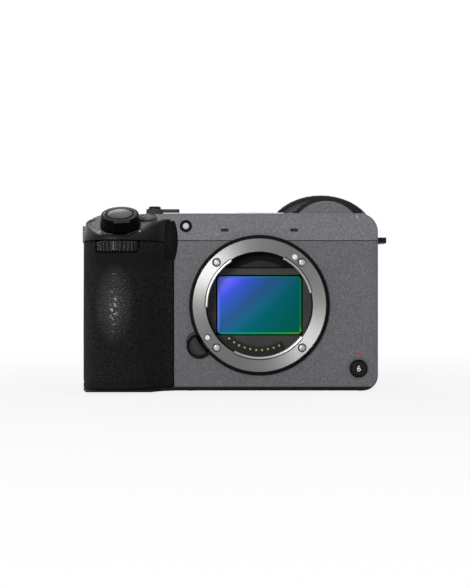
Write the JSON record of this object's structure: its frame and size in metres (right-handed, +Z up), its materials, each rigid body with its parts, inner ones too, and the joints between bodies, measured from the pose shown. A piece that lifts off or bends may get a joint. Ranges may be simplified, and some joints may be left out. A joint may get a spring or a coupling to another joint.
{
  "type": "cinema camera",
  "caption": "Compact cinema camera body with open lens mount, deep grip, tilting eye-level viewfinder, swing-out monitor, side doors, dials, buttons and accessory shoe.",
  "frame": {"origin": "mouth of the tripod socket on the base face, straight below the lens axis", "axes": "+Z up, lens faces -Y, +X to the port side, which is the right in a front view"},
  "size_m": [0.1389, 0.1037, 0.0928],
  "materials": {
    "grey_paint": "fine speckled matt grey paint",
    "black_plastic": "fine satin black",
    "grip_rubber": "leather-grained rubber",
    "steel": "turned, radial brushing",
    "black_metal": "satin black",
    "gold": "polished",
    "optical_glass": "coated cover glass",
    "screen_glass": "glossy black",
    "light_metal": "machined",
    "board_green": "solder mask",
    "soft_black": "soft matt rubber",
    "lamp_lens": "clear moulding in a black ring"
  },
  "bodies": {
    "root": {"base_plate": "black_plastic", "front_cover": "grey_paint", "top_cover": "grey_paint", "rear_cover": "grey_paint", "grip_frame": "black_plastic", "grip_skin": "grip_rubber", "grip_band": "black_plastic", "mount_base_ring": "black_metal", "mount_flange_ring": "steel", "screws": "steel", "contact_block": "black_plastic", "chassis_frame": "black_metal", "shutter_frame": "black_metal", "stabiliser_base": "light_metal", "heat_sink": "light_metal", "fan_housing": "black_plastic", "battery": "black_plastic", "circuit_boards": "board_green", "front_lamp": "lamp_lens", "accessory_shoe": "steel", "strap_lugs": "steel", "monitor_bracket": "black_metal"},
    "lens_release": {"lens_release_button": "black_metal"},
    "lens_lock": {"lens_lock_pin": "steel"},
    "lens_contacts": {"contact_pins": "gold"},
    "blade_1": {"shutter_blade_1": "black_metal"},
    "blade_2": {"shutter_blade_2": "black_metal"},
    "stabiliser_cross": {"stabiliser_slide": "light_metal"},
    "sensor": {"sensor_carriage": "light_metal", "sensor_glass": "optical_glass"},
    "fan": {"fan_rotor": "black_plastic"},
    "battery_lid": {"battery_door": "black_plastic"},
    "battery_lid_latch": {"battery_latch": "black_plastic"},
    "card_lid": {"card_door": "black_plastic"},
    "port_lid_upper": {"port_door_upper": "black_plastic"},
    "port_lid_lower": {"port_door_lower": "black_plastic"},
    "shutter_release": {"shutter_button": "grey_paint"},
    "zoom": {"zoom_lever": "black_metal"},
    "deck_key": {"deck_button": "grey_paint"},
    "power": {"power_lever": "black_metal"},
    "mode_key": {"mode_button": "black_plastic"},
    "top_key": {"top_button": "black_plastic"},
    "front_wheel": {"front_dial": "black_plastic"},
    "rear_wheel": {"rear_dial": "black_plastic"},
    "record_key": {"record_button": "black_plastic"},
    "rear_ring": {"control_wheel": "black_plastic"},
    "centre_key": {"centre_button": "black_plastic"},
    "focus_key": {"focus_button": "black_plastic"},
    "menu_key": {"menu_button": "black_plastic"},
    "playback_key": {"playback_button": "black_plastic"},
    "stick_gimbal": {"joystick_gimbal": "light_metal"},
    "stick": {"joystick": "soft_black"},
    "viewfinder": {"viewfinder_housing": "black_plastic", "viewfinder_cap": "grey_paint", "viewfinder_eyepiece": "optical_glass", "viewfinder_eyecup": "soft_black"},
    "diopter": {"diopter_dial": "black_plastic"},
    "monitor": {"monitor_frame": "black_plastic", "monitor_glass": "screen_glass", "monitor_hinge": "black_plastic"}
  },
  "joints": [
    {"name": "lens_release_press", "type": "slide", "parent": "root", "child": "lens_release", "axis": [0, 1, 0], "range_m": [0, 0.0015], "stiffness_N_per_m": 400},
    {"name": "lens_lock_retract", "type": "slide", "parent": "root", "child": "lens_lock", "axis": [0, 1, 0], "range_m": [0, 0.0015], "stiffness_N_per_m": 400},
    {"name": "lens_contacts_press", "type": "slide", "parent": "root", "child": "lens_contacts", "axis": [0, 1, 0], "range_m": [0, 0.0008], "stiffness_N_per_m": 400},
    {"name": "blade_1_fall", "type": "slide", "parent": "root", "child": "blade_1", "axis": [0, 0, -1], "range_m": [0, 0.0278], "stiffness_N_per_m": 6, "springref_m": -0.012},
    {"name": "blade_2_fall", "type": "slide", "parent": "root", "child": "blade_2", "axis": [0, 0, -1], "range_m": [0, 0.0139], "stiffness_N_per_m": 6, "springref_m": -0.012},
    {"name": "stabiliser_sideways", "type": "slide", "parent": "root", "child": "stabiliser_cross", "axis": [1, 0, 0], "range_m": [-0.0012, 0.0012], "stiffness_N_per_m": 2000},
    {"name": "stabiliser_upright", "type": "slide", "parent": "stabiliser_cross", "child": "sensor", "axis": [0, 0, 1], "range_m": [-0.0012, 0.0012], "stiffness_N_per_m": 3000},
    {"name": "fan_spin", "type": "hinge", "parent": "root", "child": "fan", "pos_m": [0.026, 0.0118, 0.03], "axis": [0, 1, 0], "continuous": true},
    {"name": "battery_lid_open", "type": "hinge", "parent": "root", "child": "battery_lid", "pos_m": [-0.0499, -0.0125, 0.0008], "axis": [0, -1, 0], "range_deg": [0, 100]},
    {"name": "battery_latch_slide", "type": "slide", "parent": "battery_lid", "child": "battery_lid_latch", "axis": [-1, 0, 0], "range_m": [0, 0.0014]},
    {"name": "card_lid_open", "type": "hinge", "parent": "root", "child": "card_lid", "pos_m": [-0.0767, 0.0057, 0.033], "axis": [0, 0, 1], "range_deg": [0, 100]},
    {"name": "port_lid_upper_open", "type": "hinge", "parent": "root", "child": "port_lid_upper", "pos_m": [0.0507, -0.0073, 0.044], "axis": [0, 0, -1], "range_deg": [0, 100]},
    {"name": "port_lid_lower_open", "type": "hinge", "parent": "root", "child": "port_lid_lower", "pos_m": [0.0507, -0.0073, 0.02], "axis": [0, 0, -1], "range_deg": [0, 100]},
    {"name": "shutter_release_press", "type": "slide", "parent": "root", "child": "shutter_release", "axis": [0, 0.4695, -0.8829], "range_m": [0, 0.0012], "stiffness_N_per_m": 400},
    {"name": "zoom_turn", "type": "hinge", "parent": "root", "child": "zoom", "pos_m": [-0.0592, -0.0315, 0.0705], "axis": [0, -0.4695, 0.8829], "range_deg": [-14, 14], "stiffness_Nm_per_rad": 0.02},
    {"name": "deck_key_press", "type": "slide", "parent": "root", "child": "deck_key", "axis": [0, 0.4695, -0.8829], "range_m": [0, 0.0007], "stiffness_N_per_m": 400},
    {"name": "power_turn", "type": "hinge", "parent": "root", "child": "power", "pos_m": [-0.047, -0.005, 0.079], "axis": [0, 0, 1], "range_deg": [0, 45]},
    {"name": "mode_key_press", "type": "slide", "parent": "power", "child": "mode_key", "axis": [0, 0, -1], "range_m": [0, 0.0007], "stiffness_N_per_m": 400},
    {"name": "top_key_press", "type": "slide", "parent": "root", "child": "top_key", "axis": [0, 0, -1], "range_m": [0, 0.0007], "stiffness_N_per_m": 400},
    {"name": "front_wheel_turn", "type": "hinge", "parent": "root", "child": "front_wheel", "pos_m": [-0.0599, -0.0343, 0.0616], "axis": [0, 0, 1], "continuous": true},
    {"name": "rear_wheel_turn", "type": "hinge", "parent": "root", "child": "rear_wheel", "pos_m": [-0.061, 0.0124, 0.0715], "axis": [0, 0, 1], "continuous": true},
    {"name": "record_key_press", "type": "slide", "parent": "root", "child": "record_key", "axis": [0, 1, 0], "range_m": [0, 0.0007], "stiffness_N_per_m": 400},
    {"name": "rear_ring_turn", "type": "hinge", "parent": "root", "child": "rear_ring", "pos_m": [-0.046, 0.02, 0.029], "axis": [0, 1, 0], "continuous": true},
    {"name": "centre_key_press", "type": "slide", "parent": "root", "child": "centre_key", "axis": [0, -1, 0], "range_m": [0, 0.0007], "stiffness_N_per_m": 400},
    {"name": "focus_key_press", "type": "slide", "parent": "root", "child": "focus_key", "axis": [0, -1, 0], "range_m": [0, 0.0007], "stiffness_N_per_m": 400},
    {"name": "menu_key_press", "type": "slide", "parent": "root", "child": "menu_key", "axis": [0, -1, 0], "range_m": [0, 0.0007], "stiffness_N_per_m": 400},
    {"name": "playback_key_press", "type": "slide", "parent": "root", "child": "playback_key", "axis": [0, -1, 0], "range_m": [0, 0.0007], "stiffness_N_per_m": 400},
    {"name": "stick_up_down", "type": "hinge", "parent": "root", "child": "stick_gimbal", "pos_m": [-0.0405, 0.019, 0.0505], "axis": [1, 0, 0], "range_deg": [-8, 8], "stiffness_Nm_per_rad": 0.004},
    {"name": "stick_sideways", "type": "hinge", "parent": "stick_gimbal", "child": "stick", "pos_m": [-0.0405, 0.019, 0.0505], "axis": [0, 0, 1], "range_deg": [-8, 8], "stiffness_Nm_per_rad": 0.004},
    {"name": "viewfinder_tilt", "type": "hinge", "parent": "root", "child": "viewfinder", "pos_m": [0.0308, 0.0072, 0.0776], "axis": [1, 0, 0], "range_deg": [0, 90]},
    {"name": "diopter_turn", "type": "hinge", "parent": "viewfinder", "child": "diopter", "pos_m": [0.0505, 0.027, 0.07], "axis": [1, 0, 0], "range_deg": [-120, 120]},
    {"name": "monitor_swing", "type": "hinge", "parent": "root", "child": "monitor", "pos_m": [0.0475, 0.026, 0.0275], "axis": [0, 0, -1], "range_deg": [0, 176]}
  ],
  "couplings": [
    {"joint": "lens_lock_retract", "follows": "lens_release_press", "ratio": 1},
    {"joint": "blade_2_fall", "follows": "blade_1_fall", "ratio": 0.5}
  ]
}
